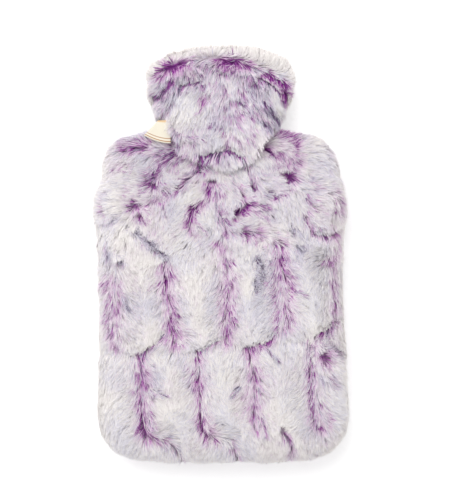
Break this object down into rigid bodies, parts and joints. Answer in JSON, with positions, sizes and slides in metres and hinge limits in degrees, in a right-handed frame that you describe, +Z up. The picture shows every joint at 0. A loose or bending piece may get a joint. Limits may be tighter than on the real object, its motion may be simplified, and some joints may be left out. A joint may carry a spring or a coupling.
{
  "type": "plush hot water bottle cover",
  "caption": "Plush cover for a hot water bottle: a plump pouch with rounded corners, sculpted pile and a neck with a turned-down collar, lying on its back.",
  "frame": {"origin": "under the middle of the cover, on the surface that it lies on", "axes": "+Y runs along the cover to its neck, +Z is up through its thickness, +X runs across it to the right seen from above"},
  "size_m": [0.2236, 0.3651, 0.0643],
  "materials": {
    "plush": "long soft pile, off-white tips over a violet base",
    "ribbon": "woven satin ribbon, cream with ochre edge lines"
  },
  "bodies": {
    "root": {"front_panel": "plush", "back_panel": "plush", "collar": "plush", "label": "ribbon"}
  },
  "joints": []
}
